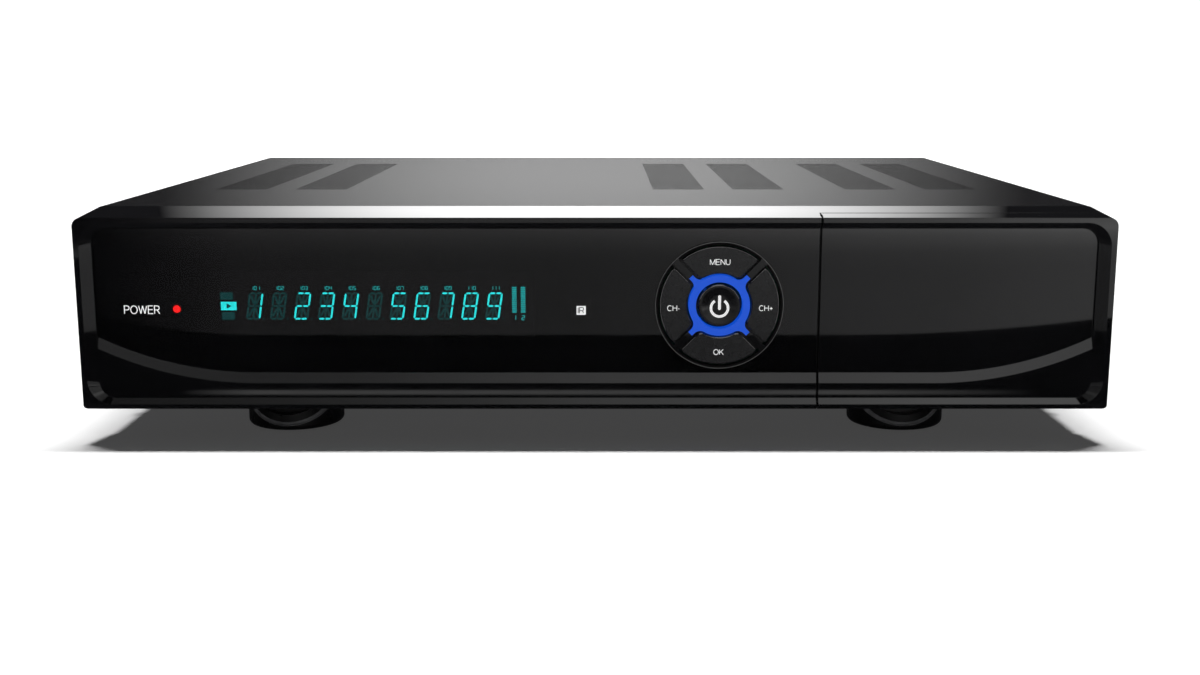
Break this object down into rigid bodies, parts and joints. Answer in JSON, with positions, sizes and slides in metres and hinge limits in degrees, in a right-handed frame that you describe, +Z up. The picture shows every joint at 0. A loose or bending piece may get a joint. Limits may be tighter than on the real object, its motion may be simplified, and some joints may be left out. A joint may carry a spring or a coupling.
{
  "type": "satellite tv receiver",
  "caption": "Low black set-top box with a sculpted glossy front, display window, round key pad and a drop-down door over a card bay, on round feet.",
  "frame": {"origin": "on the surface it stands on, under the middle of its bounding box", "axes": "+X to the right seen from the front, +Y from the front to the back, +Z up"},
  "size_m": [0.34, 0.276, 0.078],
  "materials": {
    "cover_black": "satin",
    "front_black": "high gloss",
    "smoked_window": "clear gloss",
    "pad_grey": "gloss",
    "key_black": "gloss",
    "power_black": "gloss",
    "ring_blue": "clear, lit from behind",
    "lamp_red": "clear, lit",
    "infrared_filter": "gloss",
    "display_glass": "clear gloss",
    "zinc_steel": "satin",
    "tin_plate": "semi gloss",
    "screw_steel": "bright",
    "nickel": "bright",
    "brass": "satin",
    "board_green": "semi matte",
    "board_tan": "semi matte",
    "moulded_black": "fine matte",
    "pad_rubber": "matte",
    "heat_sink": "satin",
    "core_yellow": "matte",
    "can_sleeve": "semi gloss",
    "ribbon_grey": "matte",
    "magnet_grey": "matte"
  },
  "bodies": {
    "receiver": {"top_cover": "cover_black", "front_bezel": "front_black", "front_window": "smoked_window", "pad_frame": "pad_grey", "light_ring": "ring_blue", "power_lamp": "lamp_red", "infrared_eye": "infrared_filter", "display_tube": "display_glass", "chassis_tray": "zinc_steel", "rear_panel": "zinc_steel", "disk_cradle": "zinc_steel", "tuner_bracket": "zinc_steel", "tuner_lower": "tin_plate", "tuner_upper": "tin_plate", "ci_cage": "tin_plate", "usb_front": "tin_plate", "lan_socket": "tin_plate", "hdmi_socket": "tin_plate", "serial_socket": "tin_plate", "cover_screws": "screw_steel", "foot_screws": "screw_steel", "board_screws": "screw_steel", "fan_screws": "screw_steel", "disk_screws": "screw_steel", "front_board_screws": "screw_steel", "door_pins": "screw_steel", "serial_posts": "screw_steel", "aerial_nuts": "nickel", "phono_rings": "nickel", "board_standoffs": "brass", "main_board": "board_green", "front_board": "board_green", "supply_board": "board_tan", "card_bay": "moulded_black", "smartcard_reader": "moulded_black", "phono_housing": "moulded_black", "scart_block": "moulded_black", "mains_inlet": "moulded_black", "mains_switch": "moulded_black", "fan_frame": "moulded_black", "feet": "moulded_black", "tact_switches": "moulded_black", "foot_pads": "pad_rubber", "processor_sink": "heat_sink", "supply_sink": "heat_sink", "hard_disk": "heat_sink", "transformer": "core_yellow", "mains_capacitors": "can_sleeve", "ribbon_cable": "ribbon_grey", "door_magnet": "magnet_grey"},
    "door": {"door": "front_black", "door_striker": "nickel"},
    "up_key": {"key_up": "key_black"},
    "down_key": {"key_down": "key_black"},
    "left_key": {"key_left": "key_black"},
    "right_key": {"key_right": "key_black"},
    "power_button": {"power_key": "power_black"},
    "rocker": {"mains_rocker": "moulded_black"},
    "rotor": {"fan_rotor": "moulded_black"}
  },
  "joints": [
    {"name": "door_hinge", "type": "hinge", "parent": "receiver", "child": "door", "pos_m": [0.1205, -0.1346, 0.0135], "axis": [1, 0, 0], "range_deg": [0, 90]},
    {"name": "up_press", "type": "slide", "parent": "receiver", "child": "up_key", "axis": [0, 1, 0], "range_m": [0, 0.0005], "stiffness_N_per_m": 1500},
    {"name": "down_press", "type": "slide", "parent": "receiver", "child": "down_key", "axis": [0, 1, 0], "range_m": [0, 0.0005], "stiffness_N_per_m": 1500},
    {"name": "left_press", "type": "slide", "parent": "receiver", "child": "left_key", "axis": [0, 1, 0], "range_m": [0, 0.0005], "stiffness_N_per_m": 1500},
    {"name": "right_press", "type": "slide", "parent": "receiver", "child": "right_key", "axis": [0, 1, 0], "range_m": [0, 0.0005], "stiffness_N_per_m": 1500},
    {"name": "power_press", "type": "slide", "parent": "receiver", "child": "power_button", "axis": [0, 1, 0], "range_m": [0, 0.0005], "stiffness_N_per_m": 1500},
    {"name": "rocker_swing", "type": "hinge", "parent": "receiver", "child": "rocker", "pos_m": [-0.14775, 0.1255, 0.056], "axis": [1, 0, 0], "range_deg": [-16, 0]},
    {"name": "rotor_spin", "type": "hinge", "parent": "receiver", "child": "rotor", "pos_m": [-0.1116, 0.1208, 0.04545], "axis": [0, 1, 0], "continuous": true}
  ]
}
